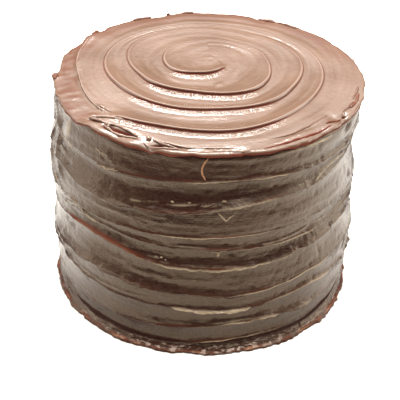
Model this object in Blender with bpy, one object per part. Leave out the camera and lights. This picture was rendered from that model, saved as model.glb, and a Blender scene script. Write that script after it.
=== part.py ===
"""Tall round chocolate layer cake in thick chocolate icing, as one solid.

Metres, +Z up, front toward -Y. The cake stands on z = 0, centred on the Z axis.
The icing was spread with a palette knife: in level bands round the side, and in one
long stroke that winds out from near the middle of the top.
"""

import math

import bmesh
import bpy

MM = 0.001

# Overall sizes
RIM_LEVEL = 118.4 * MM
RIM_RADIUS = 77.0 * MM

# Steps of the skin round the cake, and its rows across a turn of the top and down a band
STEPS_ROUND = 90
ACROSS_STEPS = (0.0, 0.12, 0.42, 0.78)
BAND_STEPS = (0.14, 0.5, 0.84, 1.0)
WELD = 0.02 * MM

# Colour of the icing, linear light
ICING_COLOUR = (0.115, 0.045, 0.022, 1.0)
ICING_ROUGHNESS = 0.32
SHARP_EDGE = math.radians(38.0)

# The knife stroke on the top, in turns clockwise from where it was set down
STROKE_START_ANGLE = math.radians(-57.0)
STROKE_START_X = 1.6 * MM
STROKE_START_Y = 20.2 * MM
STROKE_DRIFT_X = -0.65 * MM
STROKE_DRIFT_Y = -4.95 * MM
STROKE_START_RADIUS = 16.2 * MM
STROKE_PITCH = 19.1 * MM
STROKE_TIGHTENING = -1.4 * MM
STROKE_CENTRE_TURN = -0.42
STROKE_LEAVES_TURN = 3.14
STROKE_END_TURN = 3.25
STROKE_FIRST_TURN = -2.0

# Where the hand strayed from an even spiral: turn and distance outward
STROKE_STRAY = (
    (-0.20, 0.0), (0.00, -3.0), (0.12, 0.0), (0.27, 1.9), (0.54, -1.2), (0.68, -2.6),
    (0.81, -0.9), (0.99, 3.4), (1.14, -2.5), (1.26, -0.9), (1.42, 4.6), (1.52, 2.2),
    (1.66, -0.2), (1.80, 3.2), (1.93, 0.4), (2.11, -4.1), (2.21, -4.0), (2.40, 0.5),
    (2.60, -2.4), (2.80, 0.9), (2.95, -1.4), (3.06, 0.7), (3.14, -1.5), (3.30, 0.0),
)

# The lip the stroke left, and the shallow trough outside it
LIP_RISE = 1.25 * MM
LIP_FRONT_GAIN = 0.55
LIP_FRONT_ANGLE = math.radians(-95.0)
TROUGH_SHARE = 0.12
TROUGH_DEPTH = 0.7 * MM
INNER_PLATEAU_RISE = 0.5 * MM

# The knife's last pass round the left edge left its own low arc
LEFT_ARC = (
    # angle in degrees, radius
    (140.0, 77.0), (146.0, 75.3), (159.0, 71.6), (170.0, 68.4), (184.0, 64.6),
    (199.0, 63.6), (212.0, 63.4), (222.0, 62.5),
)
LEFT_ARC_FADE = 10.0
LEFT_ARC_STEP = 0.9 * MM
LEFT_ARC_SOFTNESS = 2.5 * MM

# Rim of the top, which hangs a little over the side
RIM_EDGE = ((0.0, 0.0), (0.8, -0.4), (1.1, -1.3), (0.7, -2.5), (0.1, -4.2))
RIM_WAVE = 0.4 * MM
RIM_OVAL = 1.2 * MM
RIM_DENTS = (
    # angle in degrees, half width in degrees, inward, downward
    (-124.0, 5.0, 1.6, 1.2),
    (-111.0, 3.5, 2.2, 1.4),
    (-45.0, 4.5, 0.8, 0.6),
    (-32.0, 2.5, 1.0, 0.8),
    (66.0, 4.0, 0.9, 0.5),
    (112.0, 6.0, 0.8, 0.5),
    (146.0, 3.0, -1.0, -0.3),
    (182.0, 3.5, -1.4, -0.6),
)

# Side of the cake: height and radius, without the bands
SIDE_PROFILE = (
    (120.0, 77.0), (113.0, 77.0), (104.0, 77.2), (96.0, 76.7), (86.0, 78.2),
    (78.0, 79.2), (66.0, 79.1), (54.0, 78.1), (42.0, 79.2), (28.0, 78.7),
    (17.0, 78.2), (9.0, 77.2), (5.0, 77.0), (2.6, 78.0), (1.0, 80.6), (0.0, 81.2),
)
LEAN_ANGLE = math.radians(184.0)
BULGE_LEAN = 1.6 * MM
BULGE_LEVEL = 80.0 * MM
BULGE_REACH = 17.0 * MM
RIM_LEAN = 1.6 * MM
RIM_LEAN_FROM = 96.0 * MM
RIM_LEAN_TO = 112.0 * MM

# Ridges between the bands, from the top down: how far each stands out, then its height
# every 30 degrees round the cake, the first six across the front from left to right
RIDGE_FIRST_ANGLE = -165.0
RIDGE_ANGLE_STEP = 30.0
RIDGES = (
    (0.8, (99.5, 99.5, 101.0, 103.0, 102.0, 103.5, 104.5, 103.0, 101.5, 100.0, 101.5, 101.0)),
    (0.9, (86.0, 86.0, 89.5, 89.5, 91.5, 93.5, 92.0, 89.5, 88.0, 87.5, 89.0, 88.0)),
    (0.8, (70.0, 71.5, 72.5, 72.0, 72.0, 71.0, 73.0, 74.5, 74.0, 72.5, 71.5, 71.0)),
    (0.6, (62.0, 67.5, 65.5, 64.5, 64.0, 66.0, 66.5, 65.0, 63.5, 65.0, 65.5, 63.0)),
    (0.9, (55.0, 58.5, 54.5, 53.0, 53.5, 54.5, 56.0, 55.5, 53.5, 52.5, 54.0, 55.5)),
    (1.3, (38.0, 41.0, 39.0, 37.0, 39.5, 42.0, 43.0, 41.5, 40.0, 39.5, 41.0, 40.5)),
    (0.9, (32.0, 29.0, 28.5, 28.0, 31.0, 29.0, 30.5, 31.5, 30.5, 29.0, 28.5, 30.5)),
    (0.7, (16.5, 14.0, 16.0, 19.5, 17.5, 15.5, 17.0, 18.5, 17.5, 16.5, 18.0, 18.0)),
    (0.5, (8.5, 5.2, 5.4, 8.5, 9.0, 8.5, 8.0, 7.5, 8.5, 9.0, 7.5, 7.5)),
)
BAND_HOLLOW = 0.55 * MM
BAND_HOLLOW_PER_HEIGHT = 0.015
RIDGE_FADE = 0.35
RIDGE_FADE_TURN = 71.0

# Smear of icing round the foot
FOOT_RINGS = ((2.6, 0.0), (1.1, 0.0), (0.5, 0.0), (0.0, -0.3))
FOOT_WAVES = (
    # waves round the cake, size, angle in degrees of the first crest
    (3, 0.25, -40.0),
    (5, 0.3, 20.0),
    (11, 0.18, 75.0),
)


def smooth_step(low, high, value):
    """Ease from 0 at low to 1 at high."""
    share = min(max((value - low) / (high - low), 0.0), 1.0)
    return share * share * (3.0 - 2.0 * share)


def swell(offset, reach):
    """A soft bump of height 1 that dies away over reach."""
    return math.exp(-((offset / reach) ** 2))


def turned(angle):
    """The same angle brought between -180 and 180 degrees."""
    return math.atan2(math.sin(angle), math.cos(angle))


def along(pairs, position):
    """Smooth reading between named pairs of position and size."""
    if position <= pairs[0][0]:
        return pairs[0][1]
    for (low, first), (high, second) in zip(pairs, pairs[1:]):
        if position <= high:
            return first + (second - first) * smooth_step(low, high, position)
    return pairs[-1][1]


def round_the_cake(heights, angle):
    """Smooth reading of heights given every 30 degrees, which closes on itself."""
    place = (math.degrees(angle) - RIDGE_FIRST_ANGLE) / RIDGE_ANGLE_STEP % len(heights)
    index = int(place)
    share = place - index
    before, here, after, beyond = (
        heights[(index + shift) % len(heights)] for shift in (-1, 0, 1, 2)
    )
    return here + 0.5 * share * (
        after - before
        + share * (2.0 * before - 5.0 * here + 4.0 * after - beyond)
        + share * share * (3.0 * (here - after) + beyond - before)
    )


def stroke_angle(turn):
    return STROKE_START_ANGLE - 2.0 * math.pi * turn


def rim_dent(angle):
    """How far the dents and nubs of the rim go in and down at one angle."""
    inward = 0.0
    downward = 0.0
    for middle, half_width, dent_in, dent_down in RIM_DENTS:
        depth = swell(turned(angle - math.radians(middle)), math.radians(half_width))
        inward += dent_in * MM * depth
        downward += dent_down * MM * depth
    return inward, downward


def lean(angle, height):
    """The side bulges to the left at mid height; the rim is wide and sits to the right."""
    toward = math.cos(angle - LEAN_ANGLE)
    bulge = BULGE_LEAN * swell(height - BULGE_LEVEL, BULGE_REACH)
    at_rim = smooth_step(RIM_LEAN_FROM, RIM_LEAN_TO, height)
    return toward * (bulge - RIM_LEAN * at_rim) + RIM_OVAL * math.cos(2.0 * angle) * at_rim


def rim_radius(angle):
    wave = RIM_WAVE * (math.sin(3.0 * angle + 0.6) + 0.6 * math.sin(7.0 * angle + 2.0))
    return RIM_RADIUS + wave + lean(angle, RIM_LEVEL) - rim_dent(angle)[0]


def rim_point(angle):
    radius = rim_radius(angle)
    return radius * math.cos(angle), radius * math.sin(angle)


def stroke_point(turn):
    """Where the lip of the top stroke lies; past its end it follows the rim."""
    angle = stroke_angle(turn)
    wound = max(turn, STROKE_CENTRE_TURN)
    radius = STROKE_START_RADIUS + STROKE_PITCH * wound + STROKE_TIGHTENING * wound * wound
    radius += along(STROKE_STRAY, wound) * MM
    if turn < STROKE_CENTRE_TURN:
        radius = 0.0
    radius = max(radius, 0.0)
    x = STROKE_START_X + STROKE_DRIFT_X * wound + radius * math.cos(angle)
    y = STROKE_START_Y + STROKE_DRIFT_Y * wound + radius * math.sin(angle)
    outer_x, outer_y = rim_point(angle)
    out = smooth_step(STROKE_LEAVES_TURN, STROKE_END_TURN, turn)
    return x + (outer_x - x) * out, y + (outer_y - y) * out


def lip_rise(turn):
    """Height of the lip along the stroke, proudest where it crosses the front."""
    there = smooth_step(-0.08, 0.08, turn) * (1.0 - smooth_step(3.1, 3.25, turn))
    front = 1.0 + LIP_FRONT_GAIN * math.cos(stroke_angle(turn) - LIP_FRONT_ANGLE)
    return LIP_RISE * there * front


def left_arc_drop(x, y):
    """The skin steps down outside the low arc at the left edge."""
    angle = math.degrees(math.atan2(y, x)) % 360.0
    first, last = LEFT_ARC[0][0], LEFT_ARC[-1][0]
    there = smooth_step(first, first + LEFT_ARC_FADE, angle)
    there *= 1.0 - smooth_step(last - LEFT_ARC_FADE, last, angle)
    beyond = math.hypot(x, y) - along(LEFT_ARC, angle) * MM
    return LEFT_ARC_STEP * there * smooth_step(0.0, LEFT_ARC_SOFTNESS, beyond)


def top_level(x, y):
    """Height of the top without the lips of the stroke."""
    middle = math.hypot(x - STROKE_START_X, y - STROKE_START_Y)
    plateau = INNER_PLATEAU_RISE * (1.0 - smooth_step(0.0, RIM_RADIUS, middle))
    near_rim = smooth_step(0.86, 1.0, math.hypot(x, y) / RIM_RADIUS)
    dent = near_rim * rim_dent(math.atan2(y, x))[1]
    return RIM_LEVEL - TROUGH_DEPTH + plateau - left_arc_drop(x, y) - dent


def top_point(turn, across):
    """Skin of the top, across running from one turn of the lip to the next one out."""
    inner_x, inner_y = stroke_point(turn)
    outer_x, outer_y = stroke_point(turn + 1.0)
    x = inner_x + (outer_x - inner_x) * across
    y = inner_y + (outer_y - inner_y) * across
    inner_lip = lip_rise(turn) * (1.0 - smooth_step(0.0, TROUGH_SHARE, across))
    outer_lip = lip_rise(turn + 1.0) * across * across
    return x, y, top_level(x, y) + inner_lip + outer_lip


def side_radius(angle, height):
    levels = tuple((-level, radius) for level, radius in SIDE_PROFILE)
    return along(levels, -height / MM) * MM + lean(angle, height)


def band_point(angle, upper, band_share):
    """Skin of the side, between the ridge numbered upper and the one below it."""
    edge_level = RIM_LEVEL + RIM_EDGE[-1][1] * MM
    foot_level = FOOT_RINGS[0][0] * MM
    crests = [(0.0, edge_level)]
    for number, (stands, heights) in enumerate(RIDGES):
        fade = 1.0 - RIDGE_FADE * (1.0 + math.sin(angle * 2.0 + number * RIDGE_FADE_TURN))
        crests.append((stands * fade * MM, round_the_cake(heights, angle) * MM))
    crests.append((0.0, foot_level))
    stands_above, level_above = crests[upper]
    stands_below, level_below = crests[upper + 1]
    height = level_above + (level_below - level_above) * band_share
    hollow = BAND_HOLLOW + BAND_HOLLOW_PER_HEIGHT * (level_above - level_below)
    radius = side_radius(angle, height) - hollow * 4.0 * band_share * (1.0 - band_share)
    radius += stands_above * (1.0 - smooth_step(0.0, 0.3, band_share))
    radius += stands_below * smooth_step(0.6, 1.0, band_share)
    return radius * math.cos(angle), radius * math.sin(angle), height


def foot_point(angle, level, inset):
    radius = side_radius(angle, level * MM) + inset * MM
    spread = 1.0 - smooth_step(0.0, FOOT_RINGS[0][0], level)
    for count, size, first in FOOT_WAVES:
        radius += spread * size * MM * math.cos(count * (angle - math.radians(first)))
    return radius * math.cos(angle), radius * math.sin(angle), level * MM


def rim_edge_point(angle, outward, downward):
    radius = rim_radius(angle) + outward * MM
    height = top_level(*rim_point(angle)) + downward * MM
    return radius * math.cos(angle), radius * math.sin(angle), height


def skin_rows():
    """One function of the turn for each row of the skin, from the middle of the top down."""
    rows = []
    turns_across_top = math.ceil(STROKE_END_TURN - STROKE_FIRST_TURN)
    for turn in range(turns_across_top):
        for share in ACROSS_STEPS:
            rows.append(lambda part, turn=turn, share=share: top_point(
                STROKE_FIRST_TURN + turn + part, share))
    for outward, downward in RIM_EDGE:
        rows.append(lambda part, outward=outward, downward=downward: rim_edge_point(
            stroke_angle(part), outward, downward))
    for upper in range(len(RIDGES) + 1):
        for share in BAND_STEPS:
            rows.append(lambda part, upper=upper, share=share: band_point(
                stroke_angle(part), upper, share))
    for level, inset in FOOT_RINGS[1:]:
        rows.append(lambda part, level=level, inset=inset: foot_point(
            stroke_angle(part), level, inset))
    return rows


def wrap_skin(bm, rows):
    """Lay a flat sheet of squares over the cake, one row of it per row of the skin."""
    last_row = len(rows) - 1
    bmesh.ops.create_grid(bm, x_segments=STEPS_ROUND, y_segments=last_row, size=0.5)
    for vert in bm.verts:
        part = round((vert.co.x + 0.5) * STEPS_ROUND) / STEPS_ROUND
        row = round((vert.co.y + 0.5) * last_row)
        vert.co = rows[row](part)


def close_skin(bm):
    """Weld the seam and the middle, and close the flat underside with one face."""
    bmesh.ops.remove_doubles(bm, verts=bm.verts, dist=WELD)
    bmesh.ops.dissolve_degenerate(bm, edges=bm.edges, dist=WELD * 0.2)
    open_edges = [edge for edge in bm.edges if edge.is_boundary]
    bmesh.ops.contextual_create(bm, geom=open_edges)
    top_faces = [face for face in bm.faces if len(face.verts) > 3 and len(face.verts) < 9]
    bmesh.ops.triangulate(bm, faces=top_faces, quad_method="SHORT_EDGE")
    bmesh.ops.recalc_face_normals(bm, faces=bm.faces)


def centre_on_axis(bm):
    """Move the skin sideways so its middle is on the Z axis."""
    for axis in (0, 1):
        places = [vert.co[axis] for vert in bm.verts]
        middle = (min(places) + max(places)) / 2.0
        for vert in bm.verts:
            vert.co[axis] -= middle


def icing_material():
    material = bpy.data.materials.new("chocolate_icing")
    material.use_nodes = True
    shader = material.node_tree.nodes["Principled BSDF"]
    shader.inputs["Base Color"].default_value = ICING_COLOUR
    shader.inputs["Roughness"].default_value = ICING_ROUGHNESS
    return material


def build_cake():
    bm = bmesh.new()
    wrap_skin(bm, skin_rows())
    close_skin(bm)
    centre_on_axis(bm)
    mesh = bpy.data.meshes.new("iced_cake")
    bm.to_mesh(mesh)
    bm.free()
    mesh.materials.append(icing_material())
    mesh.shade_smooth()
    mesh.set_sharp_from_angle(angle=SHARP_EDGE)
    cake = bpy.data.objects.new("iced_cake", mesh)
    bpy.context.scene.collection.objects.link(cake)


for leftover in list(bpy.data.objects):
    bpy.data.objects.remove(leftover)
build_cake()
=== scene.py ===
# %% [markdown]
# # A tall chocolate cake, iced with a palette knife
# The real thing is a round layer cake under a thick coat of soft chocolate icing. The knife
# was held against the side while the cake turned, and left level bands with a thin ridge
# between each pair. On the top it was set down near the middle and drawn slowly outward.
#
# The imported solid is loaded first. It gives the place and the size of everything here. It is
# made of flat facets, which is right for a physics model but not for a close look, so this
# script lays a finer skin of icing in its place, from the same sizes.

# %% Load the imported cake
import math

import bmesh
import bpy
from mathutils import Matrix, Vector, noise


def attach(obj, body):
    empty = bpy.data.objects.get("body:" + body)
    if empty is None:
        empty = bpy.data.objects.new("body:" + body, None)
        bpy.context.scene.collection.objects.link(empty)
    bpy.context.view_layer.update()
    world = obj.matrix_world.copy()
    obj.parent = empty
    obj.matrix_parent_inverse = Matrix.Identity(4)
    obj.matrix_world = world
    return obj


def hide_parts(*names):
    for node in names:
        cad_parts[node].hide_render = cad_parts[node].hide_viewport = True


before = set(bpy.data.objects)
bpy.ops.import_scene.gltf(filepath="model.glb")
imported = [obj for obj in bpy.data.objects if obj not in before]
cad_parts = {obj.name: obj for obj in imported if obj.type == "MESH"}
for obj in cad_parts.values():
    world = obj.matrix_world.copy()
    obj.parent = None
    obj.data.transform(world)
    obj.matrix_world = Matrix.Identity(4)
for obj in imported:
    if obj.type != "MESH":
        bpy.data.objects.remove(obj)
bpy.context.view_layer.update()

MM = 0.001

# %% [markdown]
# ## The viewpoint
# The photograph looks down on the cake by about a third of a right angle, from close enough
# that the foot looks narrower than the rim. A long lens at arm's length gives that. The
# camera also leans a degree and a half, so its roll is set here rather than left at zero.

# %% Camera
VIEW_DISTANCE = 0.679
VIEW_ELEVATION = math.radians(33.3)
VIEW_ROLL = math.radians(1.57)
VIEW_TARGET = Vector((-0.0016, 0.0, 0.0420))
LENS_MM = 112.5


def linked(name, data):
    """A new object in the scene, from a camera, a lamp or a mesh."""
    thing = bpy.data.objects.new(name, data)
    bpy.context.scene.collection.objects.link(thing)
    return thing


def aim(thing, place, target, roll=0.0):
    """Put a camera or a light at a place, looking at a target."""
    facing = (target - place).to_track_quat("-Z", "Y").to_matrix().to_4x4()
    thing.matrix_world = Matrix.Translation(place) @ facing @ Matrix.Rotation(roll, 4, "Z")


camera_data = bpy.data.cameras.new("photo_view")
camera_data.lens = LENS_MM
camera = linked("photo_view", camera_data)
bpy.context.scene.camera = camera
back = Vector((0.0, -math.cos(VIEW_ELEVATION), math.sin(VIEW_ELEVATION)))
aim(camera, VIEW_TARGET + back * VIEW_DISTANCE, VIEW_TARGET, VIEW_ROLL)
print("camera at", tuple(round(value, 4) for value in camera.matrix_world.translation))

# %% [markdown]
# ## Small helpers
# A few plain functions do for all the shapes below: an ease from 0 to 1 and back, a soft bump,
# a reading between named sizes, a place at a radius and an angle, and a little seeded noise,
# which gives the same cake each run.

# %% Helpers for shaping


def ease(low, high, value):
    """Ease from 0 at low to 1 at high."""
    share = min(max((value - low) / (high - low), 0.0), 1.0)
    return share * share * (3.0 - 2.0 * share)


def span(rise_from, rise_to, fall_from, fall_to, value):
    """Ease up from 0 to 1, stay there, and ease down again."""
    return ease(rise_from, rise_to, value) * (1.0 - ease(fall_from, fall_to, value))


def swell(offset, reach):
    """A soft bump of height 1 that dies away over reach."""
    return math.exp(-((offset / reach) ** 2))


def turned(angle):
    """The same angle brought between -180 and 180 degrees."""
    return math.atan2(math.sin(angle), math.cos(angle))


def along(pairs, position):
    """Smooth reading between named pairs of position and size."""
    if position <= pairs[0][0]:
        return pairs[0][1]
    for (low, first), (high, second) in zip(pairs, pairs[1:]):
        if position <= high:
            return first + (second - first) * ease(low, high, position)
    return pairs[-1][1]


def glide(before, here, after, beyond, share):
    """Smooth reading between two of four values or points in a row."""
    return here + 0.5 * share * (
        after - before
        + share * (2.0 * before - 5.0 * here + 4.0 * after - beyond)
        + share * share * (3.0 * (here - after) + beyond - before)
    )


def polar(radius, angle):
    """The x and y of a place at a radius and an angle."""
    return radius * math.cos(angle), radius * math.sin(angle)


def wobble(x, y, z, seed=0.0):
    """Seeded noise, mostly between -0.5 and 0.5."""
    return noise.noise(Vector((x + seed * 7.31, y - seed * 3.17, z + seed)))


def ring_wobble(angle, often, level, seed):
    """Seeded noise on a ring, which meets itself again after one turn."""
    return wobble(*polar(often, angle), level, seed)


# %% [markdown]
# ## Sizes of the cake
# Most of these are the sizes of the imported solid, so the skin follows it. They are in
# millimetres and degrees where they stand in a list, and in metres and radians elsewhere.

# %% Rim and stroke sizes
RIM_LEVEL = 118.4 * MM
RIM_RADIUS = 77.0 * MM
RIM_WAVE = 0.4 * MM
RIM_OVAL = 1.2 * MM
RIM_DENTS = (
    # angle, half width, inward, downward
    (-124, 5, 1.6, 1.2),
    (-111, 3.5, 2.2, 1.4),
    (-45, 4.5, 0.8, 0.6),
    (-32, 2.5, 1, 0.8),
    (66, 4, 0.9, 0.5),
    (112, 6, 0.8, 0.5),
    (146, 2.4, -1.2, -0.3),
    (182, 3, -1.4, -0.6),
    (138, 3, 1, 0.4),
    (153, 2.5, 0.9, 0.3),
    (165, 3, -0.6, 0),
    (174, 3, 0.8, 0.3),
)
LEAN_ANGLE = math.radians(184.0)
BULGE_LEAN = 1.6 * MM
BULGE_LEVEL = 80.0 * MM
BULGE_REACH = 17.0 * MM
RIM_LEAN = 1.6 * MM
RIM_LEAN_FROM = 96.0 * MM
RIM_LEAN_TO = 112.0 * MM

STROKE_START_ANGLE = math.radians(-57.0)
STROKE_START_X = 1.6 * MM
STROKE_START_Y = 20.2 * MM
STROKE_DRIFT_X = -0.65 * MM
STROKE_DRIFT_Y = -4.95 * MM
STROKE_START_RADIUS = 16.2 * MM
STROKE_PITCH = 19.1 * MM
STROKE_TIGHTENING = -1.4 * MM
STROKE_CENTRE_TURN = -0.42
STROKE_LEAVES_TURN = 3.20
STROKE_END_TURN = 3.25
STROKE_FIRST_TURN = -2.0
STROKE_STRAY = (
    # turn, distance outward
    (-0.20, 0), (0.00, -3), (0.12, 0), (0.27, 1.9), (0.54, -1.2), (0.68, -2.6),
    (0.81, -0.9), (0.99, 3.4), (1.14, -2.5), (1.26, -0.9), (1.42, 4.6), (1.52, 2.2),
    (1.66, -0.2), (1.80, 3.2), (1.93, 0.4), (2.11, -4.1), (2.21, -4), (2.40, 0.5),
    (2.60, -2.4), (2.80, 0.9), (2.95, -1.4), (3.06, 0.7), (3.14, -1.2), (3.20, 1.2), (3.30, 1.2),
)
LIP_RISE = 0.95 * MM
LIP_FRONT_GAIN = 0.8
LIP_FRONT_ANGLE = math.radians(-95.0)
TROUGH_DEPTH = 0.9 * MM
INNER_PLATEAU_RISE = 0.5 * MM

# %% [markdown]
# ## The icing on the top
# The stroke is one long lip that winds outward a little over three times. I could press a
# spiral into a flat disc, but then the fine lip would cross the squares of the disc and look
# jagged. So the squares themselves follow the stroke: a flat sheet is wrapped round and round,
# with one edge on the lip and the other on the next turn of it, and the seam is welded.

# %% Where the stroke and the rim lie


def rim_dent(angle):
    """How far the dents and nubs of the rim go in and down at one angle."""
    inward = 0.0
    downward = 0.0
    for middle, half_width, dent_in, dent_down in RIM_DENTS:
        depth = swell(turned(angle - math.radians(middle)), math.radians(half_width))
        inward += dent_in * MM * depth
        downward += dent_down * MM * depth
    return inward, downward


def lean(angle, height):
    """The side bulges to the left at mid height; the rim is wide and sits to the right."""
    toward = math.cos(angle - LEAN_ANGLE)
    bulge = BULGE_LEAN * swell(height - BULGE_LEVEL, BULGE_REACH)
    at_rim = ease(RIM_LEAN_FROM, RIM_LEAN_TO, height)
    return toward * (bulge - RIM_LEAN * at_rim) + RIM_OVAL * math.cos(2.0 * angle) * at_rim


def rim_ragged(angle):
    """The torn edge of the rim, in little steps a few millimetres long."""
    coarse = ring_wobble(angle, 5.0, 0.0, 1.0)
    fine = ring_wobble(angle, 17.0, 0.0, 2.0)
    return (coarse + 0.8 * fine) * MM


def rim_radius(angle):
    wave = RIM_WAVE * (math.sin(3.0 * angle + 0.6) + 0.6 * math.sin(7.0 * angle + 2.0))
    return RIM_RADIUS + wave + lean(angle, RIM_LEVEL) - rim_dent(angle)[0]


def rim_point(angle):
    return polar(rim_radius(angle) + rim_ragged(angle), angle)


def stroke_angle(turn):
    return STROKE_START_ANGLE - 2.0 * math.pi * turn


def stroke_point(turn):
    """Where the lip of the top stroke lies; past its end it follows the rim."""
    angle = stroke_angle(turn)
    wound = max(turn, STROKE_CENTRE_TURN)
    radius = STROKE_START_RADIUS + STROKE_PITCH * wound + STROKE_TIGHTENING * wound * wound
    radius += along(STROKE_STRAY, wound) * MM
    radius += wobble(wound * 9.0, 0.0, 0.0, 3.0) * 0.7 * MM
    if turn < STROKE_CENTRE_TURN:
        radius = 0.0
    x = STROKE_START_X + STROKE_DRIFT_X * wound + radius * math.cos(angle)
    y = STROKE_START_Y + STROKE_DRIFT_Y * wound + radius * math.sin(angle)
    outer_x, outer_y = rim_point(angle)
    out = ease(STROKE_LEAVES_TURN, STROKE_END_TURN, turn)
    return x + (outer_x - x) * out, y + (outer_y - y) * out


def lip_rise(turn):
    """Height of the lip along the stroke, proudest where it crosses the front."""
    there = span(-0.05, 0.06, 3.19, 3.225, turn)
    front = 1.0 + LIP_FRONT_GAIN * math.cos(stroke_angle(turn) - LIP_FRONT_ANGLE)
    uneven = 1.0 + 0.4 * wobble(turn * 6.0, 0.0, 0.0, 4.0)
    return LIP_RISE * there * front * uneven


def facing(turn):
    """1 where the stroke crosses the front, 0 elsewhere, with soft ends."""
    return span(-150.0, -118.0, -66.0, -44.0, math.degrees(turned(stroke_angle(turn))))


for turn in (0.0, 1.0, 2.0, 3.0):
    place = stroke_point(turn)
    print("turn", turn, "lip at", [round(value / MM, 1) for value in place], "mm")

# %% [markdown]
# The knife's last pass round the left edge left an arc of its own, and the icing outside it is
# lower and rough. A few folds and pockets lie at the front of the rim, where the knife pushed
# icing over the edge. Each is a soft bump with a place, a heading, a length and a width.

# %% Left arc, folds and pockets of the top
LEFT_ARC = (
    # angle, radius
    (140, 77), (146, 75.3), (159, 71.6), (170, 68.4), (184, 64.6),
    (199, 63.6), (212, 63.4), (222, 62.5),
)
LEFT_ARC_STEP = 0.7 * MM
LEFT_ARC_SLOPE = 0.09
LEFT_ARC_SHADE = 0.2
LEFT_ARC_LIP = 0.45 * MM
LEFT_STREAK_RISE = 0.22 * MM
RIM_DARK_BEHIND = 0.4
BACK_SHADE = 0.21
FOLDS = (
    # angle, radius, heading from the rim's own direction, half length, half width, height
    (-124.5, 70.3, 4, 7, 1.5, -2.4),
    (-131, 70.8, 0, 2, 1.2, -1.8),
    (-107, 73, 10, 4.8, 1.5, -3.2),
    (-97, 73.3, -4, 7, 0.9, -0.7),
    (-80, 72.9, -4, 6, 0.7, -0.7),
    (-138, 71.5, 14, 4, 1, -0.9),
    (-52, 72, -3, 14, 1.6, 0.5),
    (-48, 69.9, -2, 14, 0.8, -0.4),
    (-29, 76.5, 0, 2.5, 1.5, -0.9),
    (-57, 11.5, 20, 2.6, 1.6, 0.5),
)


def folds(x, y):
    """How far the folds and pockets raise one place of the top."""
    height = 0.0
    for angle, radius, heading, length, width, rise in FOLDS:
        angle = math.radians(angle)
        across_x = x - radius * MM * math.cos(angle)
        across_y = y - radius * MM * math.sin(angle)
        direction = angle + math.radians(90.0 + heading)
        forward = across_x * math.cos(direction) + across_y * math.sin(direction)
        sideways = across_y * math.cos(direction) - across_x * math.sin(direction)
        if abs(forward) < 3.0 * length * MM and abs(sideways) < 3.0 * width * MM:
            height += rise * MM * swell(forward, length * MM) * swell(sideways, width * MM)
    return height


def left_zone(x, y):
    """How far beyond the left arc a place lies, in metres, and how near the arc's span."""
    angle = math.degrees(math.atan2(y, x)) % 360.0
    return math.hypot(x, y) - along(LEFT_ARC, angle) * MM, span(140.0, 150.0, 214.0, 224.0, angle)


def left_streaks(x, y):
    """Streaks that run from the left arc out to the rim."""
    return wobble(x * 90.0 + y * 50.0, y * 230.0 - x * 80.0, 0.0, 5.0)


def left_shade(x, y):
    """How much darker the rough icing beyond the left arc is."""
    beyond, there = left_zone(x, y)
    uneven = 1.0 + 1.4 * left_streaks(x, y)
    return LEFT_ARC_SHADE * there * ease(0.0, 2.0 * MM, beyond) * uneven


def behind_shade(x, y):
    """How much darker the top is behind: most at the torn edge, less on its outer ring."""
    angle = math.atan2(y, x)
    inside = rim_radius(angle) - math.hypot(x, y)
    torn = RIM_DARK_BEHIND * (1.0 - ease(0.4 * MM, 1.8 * MM, inside))
    ring = BACK_SHADE * (1.0 - ease(5.0 * MM, 15.0 * MM, inside))
    return ease(-0.1, 0.55, math.sin(angle)) * max(torn, ring)


def top_level(x, y):
    """Height of the top without the lips of the stroke."""
    middle = math.hypot(x - STROKE_START_X, y - STROKE_START_Y)
    plateau = INNER_PLATEAU_RISE * (1.0 - ease(0.0, RIM_RADIUS, middle))
    near_rim = ease(0.86, 1.0, math.hypot(x, y) / RIM_RADIUS)
    dent = near_rim * rim_dent(math.atan2(y, x))[1]
    beyond, there = left_zone(x, y)
    step = there * (LEFT_ARC_STEP * ease(-0.4 * MM, 1.6 * MM, beyond)
                    + LEFT_ARC_SLOPE * max(0.0, beyond))
    lip = LEFT_ARC_LIP * there * swell(beyond + 0.5 * MM, 0.9 * MM)
    rough = there * ease(0.0, 3.0 * MM, beyond)
    streaks = left_streaks(x, y) * LEFT_STREAK_RISE
    return RIM_LEVEL - TROUGH_DEPTH + plateau - dent - step + lip + rough * streaks


def top_sway(x, y):
    """Slow rises and falls of the whole top."""
    return wobble(x * 45.0, y * 45.0, 0.0, 7.0) * 0.3 * MM


# %% [markdown]
# Across each turn the shape is the same as on the real icing: a sharp lip that leans outward,
# a steep drop, a shallow trough, and a long gentle rise to the next lip. The rows of the sheet
# are close together at the lip and far apart on the rise. Shade is painted at each lip's foot
# and a highlight on its crest, in one mark: above 0 is painted shade, below painted highlight.

# %% Shape of the top skin
LIP_DROP_WIDTH = 0.8 * MM
LIP_STEEP = 0.56
SLOPE_REACH = 4.2 * MM
TROUGH_SHARE = 0.55
CLIMB_SOONER_BEHIND = 0.25
SPECKLE = 0.14 * MM
LIP_CREST_WIDTH = 0.75 * MM
LIP_CREST_RISE = 0.13
LIP_HIGHLIGHT = 0.6
LIP_SHADE_SIDES = 0.35
LIP_SHADE_INSIDE = 0.22
LIP_SHADE_FRONT = 0.5
LIP_SHADE_PLACE = 0.72 * MM
LIP_SHADE_WIDTH = 0.58 * MM
LIP_INSIDE_PLACE = 1.3 * MM
LIP_INSIDE_WIDTH = 0.45 * MM
LIP_OVERHANG = 0.35
LIP_OVERHANG_WIDTH = 0.8 * MM
POCKET_SHADE = 0.8
ROWS_ACROSS = (
    0.0, 0.012, 0.026, 0.042, 0.06, 0.08, 0.103, 0.13, 0.16, 0.195, 0.235, 0.28, 0.33,
    0.385, 0.44, 0.50, 0.56, 0.62, 0.68, 0.735, 0.79, 0.84, 0.885, 0.925, 0.955, 0.975, 0.989,
)


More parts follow.
